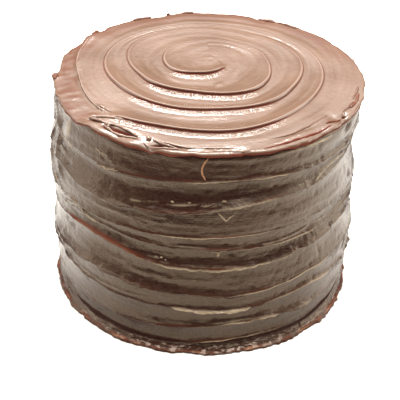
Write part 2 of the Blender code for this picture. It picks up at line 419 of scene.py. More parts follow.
def top_skin(turn, across):
    """A point of the top and its marks, from one turn of the lip across to the next."""
    inner = Vector(stroke_point(turn))
    outer = Vector(stroke_point(turn + 1.0))
    width = (outer - inner).length
    place = inner.lerp(outer, across)
    inner_rise = lip_rise(turn)
    outer_rise = lip_rise(turn + 1.0)
    from_inner = across * width
    to_outer = (1.0 - across) * width
    drop = 1.0 - ease(0.0, LIP_DROP_WIDTH, from_inner)
    inner_crest = swell(from_inner, LIP_CREST_WIDTH * 0.7)
    outer_crest = swell(to_outer, LIP_CREST_WIDTH)
    slope = max(0.0, 1.0 - from_inner / SLOPE_REACH)
    climb = ease(TROUGH_SHARE - CLIMB_SOONER_BEHIND * (1.0 - facing(turn)), 1.05, across) ** 1.2
    height = inner_rise * (LIP_STEEP * drop + (1.0 - LIP_STEEP) * slope * facing(turn))
    height += LIP_CREST_RISE * inner_rise * inner_crest
    height += outer_rise * (climb + LIP_CREST_RISE * outer_crest)
    if across == 0.0:
        height -= outer_rise * LIP_CREST_RISE * outer_crest
    if width > 0.0:
        push = inner_rise * LIP_OVERHANG * swell(from_inner, LIP_OVERHANG_WIDTH)
        push += outer_rise * LIP_OVERHANG * swell(to_outer, LIP_OVERHANG_WIDTH) * (across > 0.0)
        place += (outer - inner) / width * push
    drag = wobble(across * 5.0 + turn * 0.3, turn * 2.5, 0.0, 6.0) * 0.22 * MM
    height += drag * ease(0.0, 4.0 * MM, min(from_inner, to_outer)) + top_sway(*place)
    speckle = wobble(place.x * 300.0, place.y * 480.0, 0.0, 20.0) * SPECKLE
    near_lip = 1.0 - ease(0.8 * SLOPE_REACH, 1.6 * SLOPE_REACH, from_inner)
    height += speckle * ease(0.0, 1.0 * MM, from_inner) * (0.12 + near_lip * facing(turn))
    fold = folds(*place)
    height += fold
    # Painted shade at each lip's foot and inside the next lip; painted highlight on the crests.
    depth = inner_rise / LIP_RISE
    shade = min(1.0, depth * (LIP_SHADE_SIDES + LIP_SHADE_FRONT * facing(turn)))
    lip = shade * swell(from_inner - LIP_SHADE_PLACE, LIP_SHADE_WIDTH)
    if outer_rise > 0.1 * MM:
        inside = swell(to_outer - LIP_INSIDE_PLACE, LIP_INSIDE_WIDTH)
        lip += LIP_SHADE_INSIDE * (1.0 - facing(turn)) * inside
    # Painted shade in the pockets of the rim, where shade falls in the hollows.
    pocket_shade = POCKET_SHADE * ease(0.3 * MM, 1.2 * MM, -fold)
    lip = max(lip, pocket_shade, left_shade(*place), behind_shade(*place))
    wet = span(0.4 * MM, 1.0 * MM, 3.0 * MM, 5.5 * MM, from_inner)
    highlight = swell(from_inner, 0.35 * MM) * depth
    highlight += swell(to_outer, 0.6 * MM) * outer_rise / LIP_RISE * (across > 0.0)
    lip -= LIP_HIGHLIGHT * min(1.0, highlight)
    return (*place, top_level(*place) + height), (lip, 0.0, wet * depth * facing(turn))


# %% [markdown]
# Past the rim the skin rolls over, hangs down a little and turns back under, so the top is a
# closed slab of icing whose edge stands over the side.

# %% Roll of the rim
RIM_ROLL = (
    # outward, downward
    (0.0, 0.0), (0.35, -0.1), (0.65, -0.3), (0.88, -0.65), (1.0, -1.05), (1.0, -1.45),
    (0.85, -1.85), (0.45, -2.15), (-0.2, -2.4), (-1.2, -2.6), (-2.4, -2.6), (-8.0, -2.6),
)


def rim_skin(angle, outward, downward):
    """A point of the rolled rim and its marks."""
    outer = Vector(rim_point(angle))
    hang = 1.0 + 0.6 * ring_wobble(angle, 9.0, 0.0, 8.0)
    height = top_level(*outer) + folds(*outer) * ease(-8.0, 0.0, outward) + top_sway(*outer)
    point = (*polar(outer.length + outward * MM, angle), height + downward * hang * MM)
    # Painted shade on the roll's down-turned underside, in red-brown, and the painted shade behind.
    edge = max(ease(0.6, 1.4, -downward), behind_shade(*outer))
    return point, (edge, ease(0.9, 1.6, -downward), 0.0)


def top_rows():
    """One function of the turn for each row, from the middle of the top to under the rim."""
    rows = [lambda part, turn=turn, share=share: top_skin(STROKE_FIRST_TURN + turn + part, share)
            for turn in range(math.ceil(STROKE_END_TURN - STROKE_FIRST_TURN))
            for share in (ROWS_ACROSS if turn else ROWS_ACROSS[::3])]
    rows += [lambda part, roll=roll: rim_skin(stroke_angle(part), *roll) for roll in RIM_ROLL]
    return rows


# %% [markdown]
# ## Wrapping a sheet
# Both the top and the side are a flat grid of squares whose vertices are carried to their
# places, welded where the sheet meets itself, and closed with one flat face. Blender keeps the
# neighbours of each vertex, so no list of faces has to be worked out. Three marks are kept on
# each vertex: how much painted highlight or shade it carries, mostly at lips, ridges and creases,
# how red and how wet, and the finishes read them.

# %% Wrap, weld and close
TOP_STEPS = 560
SIDE_STEPS = 400
WELD = 0.008 * MM
MARKS = ("light_and_shade", "warm", "wet")
pieces = {}


def sheet(bm, rows, steps):
    """Carry a flat grid to its place: rows of the grid follow the functions in rows."""
    for name in MARKS:
        if name not in bm.verts.layers.float:
            bm.verts.layers.float.new(name)
    layers = [bm.verts.layers.float[name] for name in MARKS]
    last_row = len(rows) - 1
    made = bmesh.ops.create_grid(bm, x_segments=steps, y_segments=last_row, size=0.5)["verts"]
    for vert in made:
        part = round((vert.co.x + 0.5) * steps) / steps
        row = round((vert.co.y + 0.5) * last_row)
        vert.co, marks = rows[row](part)
        for layer, mark in zip(layers, marks):
            vert[layer] = mark
    bmesh.ops.remove_doubles(bm, verts=made, dist=WELD)


def built(name, bm):
    """A new object in the scene, from a bmesh."""
    mesh = bpy.data.meshes.new(name)
    bm.to_mesh(mesh)
    bm.free()
    return linked(name, mesh)


def wrap(name, rows, steps):
    """Make one piece of one sheet."""
    bm = bmesh.new()
    sheet(bm, rows, steps)
    return keep(name, bm)


def keep(name, bm):
    """Close a bmesh and make it a piece that rides on the cake's body."""
    bmesh.ops.dissolve_degenerate(bm, edges=bm.edges, dist=WELD * 0.2)
    bmesh.ops.holes_fill(bm, edges=[edge for edge in bm.edges if edge.is_boundary])
    bmesh.ops.recalc_face_normals(bm, faces=bm.faces)
    open_edges = sum(not edge.is_manifold for edge in bm.edges)
    piece = built(name, bm)
    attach(piece, "root")
    pieces[name] = piece
    mesh = piece.data
    mesh.shade_smooth()
    mesh.calc_loop_triangles()
    height = round(max(vert.co.z for vert in mesh.vertices) / MM, 2)
    print(name, len(mesh.loop_triangles), "triangles,", open_edges, "open edges, up to", height, "mm")
    return piece


icing_top = wrap("icing_top", top_rows(), TOP_STEPS)
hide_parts("iced_cake")

# %% [markdown]
# ## The icing on the side
# Ten bands lie under each other, each scooped a little by the curve of the knife, with a thin
# ridge of pushed-out icing between them. The ridges wander up and down as the hand did. Their
# heights are given every thirty degrees and read smoothly in between.

# %% Side sizes
SIDE_PROFILE = (
    (120, 75.9), (116, 76.1), (113.2, 77), (104, 77.2), (96, 76.7), (86, 78.2),
    (78, 79.2), (66, 79.1), (54, 78.1), (42, 79.2), (28, 78.7),
    (17, 78.2), (9, 77.2), (5, 77), (2.6, 78), (1, 80.6), (0, 81.2),
)
RIDGE_FIRST_ANGLE = -165.0
RIDGE_ANGLE_STEP = 30.0
RIDGES = (
    # stands out, how far above it the ramp starts, where its painted highlight is most, then the
    # levels
    (0.8, 2, (-94, -58),
     (99.5, 99.5, 101, 103, 102, 103.5, 104.5, 103, 101.5, 100, 101.5, 101)),
    (0.9, 3.5, (-86, -62),
     (86, 83.5, 85, 89.6, 90.2, 92.5, 92, 89.5, 88, 87.5, 89, 88)),
    (0.8, 6, (-104, -64),
     (70, 71.5, 72.5, 72, 72, 71, 73, 74.5, 74, 72.5, 71.5, 71)),
    (0.6, 3, (-75, -47),
     (62, 67.5, 65.5, 64.5, 64, 66, 66.5, 65, 63.5, 65, 65.5, 63)),
    (1.06, 5.5, (-114, -58),
     (54, 60, 54.6, 53.2, 56.2, 59, 57, 55.5, 53.5, 52.5, 54, 55.5)),
    (1.1, 4.5, (-76, -36),
     (38, 41, 39, 37, 39.5, 42, 43, 41.5, 40, 39.5, 41, 40.5)),
    (0.9, 3, (-62, -38),
     (32, 29, 28.5, 28, 31, 29, 30.5, 31.5, 30.5, 29, 28.5, 30.5)),
    (0.7, 4, (-90, -68),
     (16.5, 14, 16, 19.5, 17.5, 15.5, 17, 18.5, 17.5, 16.5, 18, 18)),
    (0.5, 2.5, (-106, -62), (8.5, 5.2, 5.4, 8.5, 9, 8.5, 8, 7.5, 8.5, 9, 7.5, 7.5)),
)
BAND_FORMS = (
    # depth of the hollow, and how far down the band it is deepest; below zero is a bulge
    (0.1, 0.5), (1.6, 0.32), (0.5, 0.28), (0.4, 0.4), (1.9, 0.26),
    (1.3, 0.36), (0.5, 0.4), (0.9, 0.40), (0.7, 0.4), (0.3, 0.5),
)
RIDGE_FADE = 0.35
RIDGE_FADE_TURN = 71.0
SIDE_TOP_DROP = 1.9 * MM
BAND_FOOT = 2.6 * MM
FOOT_RINGS = (2.2, 1.8, 1.4, 1.1, 0.8, 0.5, 0.25, 0.0)
FOOT_WAVES = (
    # waves round the cake, size, angle of the first crest
    (3, 0.25, -40.0),
    (5, 0.3, 20.0),
    (11, 0.18, 75.0),
)

# %% [markdown]
# The knife also left thinner strands where one pass overlapped the next: short raised lines
# that run along a band, start and stop, and sometimes cross it. They are listed by where they
# start and end. Upright ones are creases where the knife was lifted away.

# %% Strands and creases of the side
STRANDS = (
    # from angle, to angle, level at the start, middle and end, stands out, half width
    (-132.5, -123.6, 103.8, 106, 101, 0.55, 0.4),
    (-135.5, -121.5, 97.4, 98.8, 101.5, 0.6, 0.4),
    (-119, -82, 87.2, 89.5, 89.8, 0.8, 0.45),
    (-47, -22, 90, 93.8, 92.6, 0.8, 0.5),
    (-102, -84, 71.8, 71.8, 71, 0.6, 0.4),
    (-99, -87.5, 67.2, 67, 66.4, 0.6, 0.4),
    (-101, -73, 64.8, 64.4, 65.6, -0.6, 0.45),
    (-70, -47, 65.7, 65.7, 67.6, 0.6, 0.4),
    (-47, -38, 68.4, 67, 67.4, 0.5, 0.4),
    (-108, -73, 55.8, 55, 53.2, 0.5, 0.35),
    (-50, -32, 54.2, 53.8, 55, -0.6, 0.45),
    (-102, -70, 28.4, 27.4, 27.6, 1.5, 0.98),
    (-107.6, -105.4, 57.4, 57.7, 57.4, 1, 0.4),
    (-98, -77, 37.4, 37.2, 35.2, 0.6, 0.4),
    (-87, -57, 19.6, 20.6, 17.9, 0.5, 0.45),
    (-67, -38, 113.4, 113.8, 114, 1, 0.5),
    (-152, -139, 63, 64.3, 66.3, 0.7, 0.5),
    (-152, -142, 65.7, 67.2, 69.8, 0.6, 0.45),
    (-146, -128, 72, 68.3, 67, 0.8, 0.5),
    (-162, -152, 90.3, 91, 90.8, 0.6, 0.45),
    (-178, -150, 110, 93, 74, 1.1, 1.8),
    (-182, -156, 100, 84, 66, 1, 1.8),
    (-166, -146, 104, 99, 97, 0.8, 0.8),
    (-172, -158, 116, 106, 98, 0.9, 1.6),
    (-170, -149, 84, 76, 67, 0.8, 0.6),
    (-150, -105, 33, 31, 32.5, 0.4, 0.5),
    (-132, -108, 77.5, 78.4, 76, 0.35, 0.4),
    (-130, -70, 48, 46, 45.5, 0.35, 0.5),
    (-62, -24, 78, 77, 75, 0.4, 0.7),
    (10, 95, 80, 83, 80, 0.5, 0.6),
    (60, 150, 59, 60, 61.5, 0.45, 0.5),
    (100, 172, 93, 95, 92, 0.5, 0.6),
    (20, 110, 34.5, 35.5, 34, 0.4, 0.5),
    (120, 185, 22, 24, 22.5, 0.4, 0.5),
)
CREASES = (
    # angle, level, lean across, half height, half width in degrees, stands out
    (-151, 106, 2, 8, 3, 0.6),
    (-160, 100, 2, 9, 1.6, -0.9),
    (-160, 113, 3, 1.3, 1.6, -1),
    (-158, 99, 3, 1.6, 1.6, -0.9),
    (-150, 88, 2, 1.6, 1.8, -0.7),
    (-149.5, 50, -1, 1.3, 1.8, -1),
    (-155, 50.8, 0, 1.1, 1.5, -0.9),
    (-161, 36.6, 2, 1.5, 1.8, -1.1),
    (-156.5, 30, 1, 1.7, 2.8, -1.3),
    (-134, 29.8, 0, 1.1, 1.5, -0.6),
    (-17, 76, 0, 2.2, 1.6, -1.2),
    (-33.7, 58.4, -1, 0.7, 0.9, -0.9),
    (-25, 36.8, 0, 1.7, 7, -1.3),
    (-28, 111.5, 1.5, 2.2, 2.2, -1.4),
    (75, 108, 1.2, 5, 0.8, 0.5),
    (138, 66, -2, 5, 1.2, 0.5),
)


def strands(angle, height, widest=9.0):
    """How far strands up to a width, and creases, stand out of the side at one place."""
    out = 0.0
    degrees = math.degrees(turned(angle))
    level = height / MM
    for start, end, first, middle, last, stands, width in STRANDS:
        share = (degrees - start) % 360.0 / (end - start)
        if share < 1.0 and width < widest:
            line = first + (last - first) * share
            line += (middle - 0.5 * (first + last)) * 4.0 * share * (1.0 - share)
            if abs(level - line) < 4.0 * width:
                ends = span(0.0, 0.12, 0.85, 1.0, share)
                ragged = 1.0 + 0.5 * wobble(degrees * 0.35, line * 0.2, 0.0, 9.0)
                out += stands * ends * ragged * swell(level - line, width)
    for middle, centre, across, half_height, half_width, stands in CREASES:
        up = (level - centre) / half_height
        if abs(up) < 2.5:
            off = (degrees - middle - across * up * 0.5 + 180.0) % 360.0 - 180.0
            out += stands * swell(off, half_width) * swell(up, 1.0)
    return out * MM


# %% [markdown]
# On top of bands and strands comes what soft icing always has: long low swells where the knife
# pressed more or less, and fine drag lines along its path. Their noise is stretched, slow
# round the cake and quick up and down. Each ridge is torn a little along its edge and droops.

# %% Shape of the side skin
RIDGE_WIDTH_UNDER = 1.5 * MM
RIDGE_CREST = 0.9
RIDGE_DROOP = 0.45
FRONT = math.radians(-88.0)
LINES_REACH = math.radians(65.0)
CREST_SHARE = 0.25
HIGHLIGHT_ENDS = 8.0
STRAND_WIDEST = 1.0
CREST_REACH = math.radians(42.0)
CRUMB_LEVEL = 2.6 * MM
CRUMB_REACH = 1.9 * MM
CRUMB_SPREAD = math.radians(42.0)
FOOT_CREASE = 6.0 * MM
FOOT_CREASE_REACH = 1.1 * MM
LEDGE_RIDGE = 4
LEDGE_START = math.radians(-158.0)
LEDGE_END = math.radians(-104.0)
SMOOTHED_ANGLE = math.radians(-156.0)
SMOOTHED_REACH = math.radians(24.0)
SMOOTHED_RIDGES = 4


def round_the_cake(heights, angle):
    """Smooth reading of heights given every 30 degrees, which closes on itself."""
    place = (math.degrees(angle) - RIDGE_FIRST_ANGLE) / RIDGE_ANGLE_STEP % len(heights)
    index = int(place)
    share = place - index
    return glide(*(heights[(index + step) % len(heights)] for step in (-1, 0, 1, 2)), share)


def side_top(angle):
    """Height of the top edge of the side, always inside the roll of the rim."""
    return top_level(*rim_point(angle)) - SIDE_TOP_DROP


def side_radius(angle, height):
    levels = tuple((-level, radius) for level, radius in SIDE_PROFILE)
    return along(levels, -height / MM) * MM + lean(angle, height)


def drag_lines(angle, height):
    """Long swells and fine lines that the knife dragged round the side."""
    swells = ring_wobble(angle, 3.2, height * 40.0, 10.0) * 0.8
    lines = ring_wobble(angle, 4.5, height * 420.0, 11.0) * 0.32
    nicks = max(0.0, ring_wobble(angle, 30.0, height * 330.0, 12.0) - 0.28) * 1.1
    front = 0.4 + 0.6 * swell(turned(angle - FRONT), LINES_REACH)
    return (swells + (lines - nicks) * front) * MM


def ridge_at(angle, number):
    """How far one ridge stands out at an angle, and its height."""
    if number < 0:
        return 0.0, side_top(angle)
    if number >= len(RIDGES):
        return 0.0, BAND_FOOT
    stands, _, _, heights = RIDGES[number]
    fade = 1.0 - RIDGE_FADE * (1.0 + math.sin(angle * 2.0 + number * RIDGE_FADE_TURN))
    torn = 1.0 + 0.7 * ring_wobble(angle, 7.0, number, 13.0)
    torn += 0.35 * ring_wobble(angle, 30.0, number, 14.0)
    jitter = ring_wobble(angle, 7.0, number, 15.0) * 0.7
    if number < SMOOTHED_RIDGES:
        torn *= 1.0 - 0.75 * swell(turned(angle - SMOOTHED_ANGLE), SMOOTHED_REACH)
    return stands * fade * torn * MM, (round_the_cake(heights, angle) + jitter) * MM


def crest_highlight(angle, number):
    """How much painted highlight the crest of one ridge carries at an angle."""
    if not 0 <= number < len(RIDGES):
        return 0.0
    start, end = RIDGES[number][2]
    degrees = math.degrees(turned(angle))
    there = span(start - HIGHLIGHT_ENDS, start + HIGHLIGHT_ENDS, end - HIGHLIGHT_ENDS, end + HIGHLIGHT_ENDS, degrees)
    uneven = 1.0 + 0.9 * wobble(degrees * 0.12, number * 5.0, 0.0, 25.0)
    return (CREST_SHARE + (1.0 - CREST_SHARE) * there) * uneven


def crumbly(angle, height):
    """Where crumbs and drops of glaze were left along the foot, most of them in front."""
    near_foot = swell(height - CRUMB_LEVEL, CRUMB_REACH)
    return near_foot * (0.15 + 0.85 * swell(turned(angle - FRONT), CRUMB_SPREAD) ** 2)


def warmth(angle, height, upper, over):
    """How red the icing is: on one ledge at the left, and a little above each ridge."""
    degrees = math.degrees(turned(angle))
    warm = 0.0
    if upper == LEDGE_RIDGE and LEDGE_START < turned(angle) < LEDGE_END:
        there = (turned(angle) - LEDGE_START) / (LEDGE_END - LEDGE_START)
        there = span(0.0, 0.3, 0.75, 1.0, there)
        depth = 2.2 * MM * (0.9 + 0.6 * wobble(degrees * 0.1, 0.0, 0.0, 22.0))
        warm = 0.5 * there * (1.0 - ease(0.5 * depth, depth, over))
        warm += 0.15 * there * (1.0 - ease(0.2 * MM, 0.7 * MM, over))
    line = swell(over - 0.7 * MM, 0.5 * MM) * swell(turned(angle - FRONT), CREST_REACH)
    line *= max(0.0, 0.5 + 1.6 * wobble(degrees * 0.06, upper * 3.0, 0.0, 24.0))
    return min(1.0, warm + 0.22 * line)


def foot_crease_shade(height):
    """How much painted shade lies in the crease above the foot at one height."""
    return swell(height - FOOT_CREASE, FOOT_CREASE_REACH)


def band_skin(angle, upper, share):
    """A point of the side and its marks, between the ridge above and ridge number upper."""
    stands_above, level_above = ridge_at(angle, upper - 1)
    stands_below, level_below = ridge_at(angle, upper)
    height = level_above + (level_below - level_above) * share
    under = level_above - height
    over = height - level_below
    hollow, deepest = BAND_FORMS[upper]
    ramp = RIDGES[upper][1] * MM if upper < len(RIDGES) else 1.0 * MM
    bent = share ** (math.log(0.5) / math.log(deepest))
    radius = side_radius(angle, height) - hollow * MM * 4.0 * bent * (1.0 - bent)
    radius += stands_above * (1.0 - ease(0.0, RIDGE_WIDTH_UNDER, under))
    radius += stands_below * (1.0 - ease(0.0, ramp, over))
    crest_above = swell(under, 0.3 * MM)
    crest_below = swell(over, 0.55 * MM)
    radius += RIDGE_CREST * (stands_above * crest_above + stands_below * crest_below)
    radius += drag_lines(angle, height) + strands(angle, height)
    lumps = wobble(angle * 50.0, height * 900.0, 0.0, 23.0) + 0.25
    radius += crumbly(angle, height) * max(0.0, lumps) * 0.9 * MM
    droop = RIDGE_DROOP * (stands_above * crest_above + stands_below * crest_below)
    point = (*polar(radius, angle), height - droop)
    # Painted highlight on ridge crests and strands; painted shade in creases and above the foot.
    light_and_shade = crest_highlight(angle, upper - 1) * swell(under, 0.25 * MM)
    light_and_shade += crest_highlight(angle, upper) * swell(over, 0.45 * MM)
    thin = strands(angle, height, STRAND_WIDEST) / MM
    light_and_shade += thin if thin > 0.0 else 0.3 * thin
    light_and_shade -= foot_crease_shade(height)
    return point, (min(1.0, light_and_shade), warmth(angle, height, upper, over), crumbly(angle, height))


# %% [markdown]
# At the foot the icing was wiped outward on the surface it stands on, into a thin ragged
# smear. The side piece starts inside the slab of the top, so no gap shows under the rim.

# %% Foot, and the whole side
BAND_ROWS = (
    0.0, 0.012, 0.026, 0.044, 0.066, 0.10, 0.145, 0.20, 0.26, 0.325, 0.39, 0.455,
    0.52, 0.585, 0.65, 0.715, 0.775, 0.83, 0.875, 0.91, 0.94, 0.962, 0.98,
)
HIDDEN_START = ((-12.0, -0.7), (-4.0, -0.6))
COLUMN_PULL = 0.05
COLUMN_TURN = STROKE_START_ANGLE - FRONT


def foot_skin(angle, level):
    """A point of the smeared foot and its marks."""
    radius = side_radius(angle, level * MM)
    spread = 1.0 - ease(0.0, BAND_FOOT / MM, level)
    for count, size, first in FOOT_WAVES:
        radius += spread * size * MM * math.cos(count * (angle - math.radians(first)))
    ragged = 1.1 * ring_wobble(angle, 8.0, 0.0, 16.0) + 0.9 * ring_wobble(angle, 28.0, 0.0, 17.0)
    radius += spread * (ragged - 1.1) * MM
    lift = 0.35 * ring_wobble(angle, 20.0, level, 18.0) * ease(0.0, 1.0, level)
    radius += drag_lines(angle, level * MM) * (1.0 - spread)
    line = swell(level - 1.5, 0.5) * (0.7 + 1.2 * ring_wobble(angle, 14.0, 0.0, 26.0))
    warm = 0.12 * spread + 0.75 * max(0.0, line)
    return (*polar(radius, angle), (level + lift) * MM), (0.0, warm, crumbly(angle, level * MM))


def column(part):
    """Angle of one column of the side; columns are closer together in front."""
    return stroke_angle(part - COLUMN_PULL * math.sin(2.0 * math.pi * part + COLUMN_TURN))


def hidden_skin(angle, inset, rise):
    """A point of the edge that hides inside the slab of the top."""
    level = side_top(angle) + rise * MM
    return (*polar(rim_radius(angle) + inset * MM, angle), level), (0.0, 0.0, 0.0)


def side_rows():
    """One function of the turn for each row of the side, from under the rim to the foot."""
    rows = [lambda part, edge=edge: hidden_skin(column(part), *edge) for edge in HIDDEN_START]
    rows += [lambda part, upper=upper, share=share: band_skin(column(part), upper, share)
             for upper in range(len(RIDGES) + 1) for share in BAND_ROWS]
    rows += [lambda part, level=level: foot_skin(column(part), level) for level in FOOT_RINGS]
    return rows


icing_side = wrap("icing_side", side_rows(), SIDE_STEPS)
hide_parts("iced_cake")

# %% [markdown]
# ## Curls and smears on the rim
# Wherever the knife left the edge it dropped a little roll of icing: a rounded end on the
# long lip, the two edges of each open curl, lumps and crumbs on the far rim. Each is a bead: a
# long drop that follows a path over the top and is half sunk into it. A bead is a sheet too,
# whose rows run round it and whose two ends close to points.

# %% Beads
BEADS = (
    # half width, half height, lift, painted highlight (below 0 darker), then the path as angle and
    # radius
    (1.2, 1, 0.3, 0.6, ((-141.6, 71.4), (-140.4, 70.2), (-139.2, 69))),
    (0.75, 0.8, 0.4, 0.7,
     ((-141.4, 71.2), (-138.4, 67.4), (-134.8, 64.2), (-130, 61.8), (-122, 61))),
    (0.7, 0.7, 0.1, 0.5, ((-141.2, 71.6), (-138, 70.6), (-134.4, 69.6), (-131, 69.6))),
    (0.6, 0.7, 0.3, 0.4, ((-132.5, 69.4), (-127, 67.5), (-121.4, 68.3), (-116.7, 70.2))),
    (0.75, 0.8, 0, 0.4,
     ((-132, 71.6), (-128, 72.4), (-124, 72.8), (-120.5, 72.4), (-116, 71.6))),
    (0.5, 0.6, 0.4, 0.4, ((-132.8, 69), (-131.2, 70), (-130.2, 71.2), (-130.6, 72.4))),
    (0.6, 0.7, 0, 0.4,
     ((-114, 71.9), (-111, 74), (-108, 75.2), (-104, 75), (-99, 74))),
    (0.6, 0.7, 0.4, 0.4, ((-110.8, 69), (-107.5, 70.9), (-104.5, 72.4), (-101, 73.4))),
    (1.1, 1, 0.2, 0, ((-113.4, 69.4), (-112.3, 69.3), (-111.2, 69.4))),
    (0.6, 0.45, 0.1, 0.4,
     ((-109.5, 69.3), (-103.4, 70.2), (-97.4, 71.6), (-90, 71.4), (-79, 71.6))),
    (1.5, 0.8, 0, 0.4, ((-87, 73.8), (-82.5, 73.4), (-78.2, 74.4), (-73.5, 74.9))),
    (0.7, 0.7, -1, -0.8, ((-84, 75.6), (-79.5, 76.7), (-76, 75.9), (-73, 75.7))),
    (0.7, 0.7, -0.1, -0.7,
     ((-69, 75.6), (-60.3, 75), (-53.6, 74.9), (-44.4, 75.8), (-37, 76.3))),
    (0.45, 0.35, 0, -0.25,
     ((-64, 68.2), (-55, 69.3), (-46.4, 68.8), (-38, 69), (-32, 69.6))),
    (0.6, 0.6, 0.2, -0.5, ((-38, 73.4), (-35.8, 74.4), (-34.4, 75.8), (-31.5, 76.6))),
    (0.6, 0.6, 0.2, 0, ((-26.8, 75.2), (-28.2, 76), (-29.6, 76.8))),
    (0.8, 0.6, 0, -0.4, ((-22, 76.6), (-16, 77.6), (-10, 77.6))),
    (0.6, 0.5, 0.1, -0.25, ((-15, 75.6), (-10, 76.4), (-5, 77.2))),
    (0.5, 0.5, 0, -0.25, ((-26, 74.6), (-21, 75.6), (-17, 76.4))),
    (1.5, 1.3, -0.4, -0.4, ((-181.5, 76.8), (-179, 77.2), (-176.5, 76.8))),
    (1, 0.8, 0, -0.3, ((123, 75.8), (118.7, 76.2), (114.5, 75.8))),
    (1.2, 0.8, 0.1, -0.3, ((68.5, 76), (64.6, 76.5), (60.5, 76.4))),
    (0.6, 0.6, 0.1, -0.3, ((60, 76.2), (55, 76.5), (50, 76.3))),
    (1.1, 0.7, 0.2, -0.3, ((101, 75.6), (98.5, 75.9), (96, 75.6))),
    (0.5, 0.9, 0.2, -0.3, ((107.8, 75.8), (107, 75.9), (106.2, 75.8))),
    (0.55, 0.5, 0.1, 0,
     ((-148.6, 63.2), (-146.5, 62), (-144.5, 61.4), (-141.5, 60.8), (-138.5, 60))),
    (0.5, 0.2, 0, 1, ((-154.5, 48.1), (-154, 48.1), (-153.5, 48.1))),
    (0.5, 0.4, -0.1, 0.45, LEFT_ARC[1:]),
    (1, 0.8, 0, -0.5, ((143.8, 76.9), (142, 77.3), (140.2, 76.9))),
)
THREADS = (
    # the same for beads on the side, whose path is angle and height
    (0.42, 0.4, 0, 0.35,
     ((-88.6, 114.6), (-89.6, 112.6), (-90.7, 109.4), (-90.6, 106.4), (-89.4, 103.2))),
    (0.55, 0.45, 0, 0.85, ((-84.8, 86), (-83.6, 84), (-81.9, 81.2))),
    (0.5, 0.4, 0, 0.85, ((-79, 84.6), (-80.4, 83.4), (-81.9, 81))),
    (0.6, 0.45, 0, 0.8, ((-84.2, 62.4), (-84, 61), (-84.4, 59.4))),
    (0.35, 0.3, 0, 0.8, ((-87, 62.4), (-84.4, 62), (-82.2, 62.6))),
    (0.55, 0.5, 0, 0.8, ((-101.4, 90.4), (-100.8, 90.4), (-100.2, 90.4))),
    (0.5, 0.5, 0, 0.8, ((-95.4, 90.6), (-94.8, 90.6), (-94.2, 90.6))),
    (0.55, 0.5, 0, 0.8, ((-83.4, 91.4), (-82.6, 91.6), (-81.8, 91.4))),
    (0.4, 0.4, 0.2, 1, ((-104.9, 57.8), (-104.5, 57.8), (-104.1, 57.8))),
    (0.3, 0.3, 0.1, 1, ((-103.2, 56.9), (-102.9, 56.9), (-102.6, 56.9))),
    (0.62, 0.4, 0, 0.95,
     ((-97, 28.6), (-93, 28.4), (-88, 27.6), (-82, 28), (-77, 27.2), (-71.5, 28.6))),
    (0.3, 0.3, 0, 0.8, ((-133.4, 106.2), (-131.6, 106), (-129.6, 105.2), (-128, 103.4))),
    (0.3, 0.3, 0, 0.8,
     ((-134.4, 99), (-131, 98), (-128, 99.6), (-125.4, 99), (-121.5, 101))),
    (0.3, 0.3, 0, 0.8,
     ((-148, 72.5), (-143, 72), (-137, 68.2), (-133, 66.4), (-129, 67.2))),
    (0.28, 0.3, 0, 0.8, ((-152, 65), (-148, 64), (-144, 66), (-140, 66.6))),
)
BEAD_STEPS = 36
BEAD_ROUND = 12
BEAD_SHADE = 0.95
BEAD_TAPER = 0.4
BEAD_UNEVEN = 0.7


def on_top(angle, radius):
    """A point of the top, and which way is out of the icing there."""
    place = polar(radius * MM, math.radians(angle))
    return Vector((*place, top_level(*place))), Vector((0.0, 0.0, 1.0))


def on_side(angle, level):
    """A point of the side, and which way is out of the icing there."""
    angle, height = math.radians(angle), level * MM
    upper = 0
    while ridge_at(angle, upper)[1] > height:
        upper += 1
    above, below = ridge_at(angle, upper - 1)[1], ridge_at(angle, upper)[1]
    point = band_skin(angle, upper, (above - height) / (above - below))[0]
    return Vector(point), Vector((*polar(1.0, angle), 0.0))


def bead_place(surface, path, lift, share):
    """A point along the middle of a bead, and which way is out of the icing there."""
    position = share * (len(path) - 1)
    index = min(int(position), len(path) - 2)
    near = [Vector(path[min(max(index + step, 0), len(path) - 1)]) for step in (-1, 0, 1, 2)]
    point, outward = surface(*glide(*near, position - index))
    return point + outward * lift * MM, outward


def bead_skin(surface, bead, share, round_share):
    """A point of a bead and its marks, by how far along it and how far round it the point is."""
    half_width, half_height, lift, highlight, path = bead
    middle, outward = bead_place(surface, path, lift, share)
    ahead = bead_place(surface, path, lift, share + 0.01)[0]
    behind = bead_place(surface, path, lift, share - 0.01)[0]
    sideways = outward.cross(ahead - behind).normalized()
    taper = max(0.0, 1.0 - (2.0 * share - 1.0) ** 2) ** BEAD_TAPER
    uneven = 1.0 + BEAD_UNEVEN * wobble(middle.x * 400.0, middle.y * 400.0, round_share * 2.0, 21.0)
    turn = 2.0 * math.pi * round_share
    beside = sideways * half_width * MM * taper * uneven * math.cos(turn)
    outer_side = ease(0.1, 0.8, beside.dot(middle.normalized()) / (half_width * MM))
    middle += beside + outward * half_height * MM * taper * uneven * math.sin(turn)
    # Top beads: painted highlight on the crest, painted shade on the outer side; side: highlight,
    # glints.
    if surface is on_top:
        mark = -highlight + BEAD_SHADE * outer_side * (highlight > 0.0) * (highlight < 0.9)
        return tuple(middle), (mark, 0.7 * (highlight < 0.0), 0.5)
    return tuple(middle), (highlight, min(1.0, 1.6 * (1.0 - highlight)), 1.0 * (highlight > 0.9))


def lay_beads(name, surface, beads):
    """Make one piece of all the beads on a surface."""
    bm = bmesh.new()
    for bead in beads:
        rows = [lambda part, bead=bead, row=row: bead_skin(
            surface, bead, part, row % BEAD_ROUND / BEAD_ROUND) for row in range(BEAD_ROUND + 1)]
        sheet(bm, rows, BEAD_STEPS)
    return keep(name, bm)


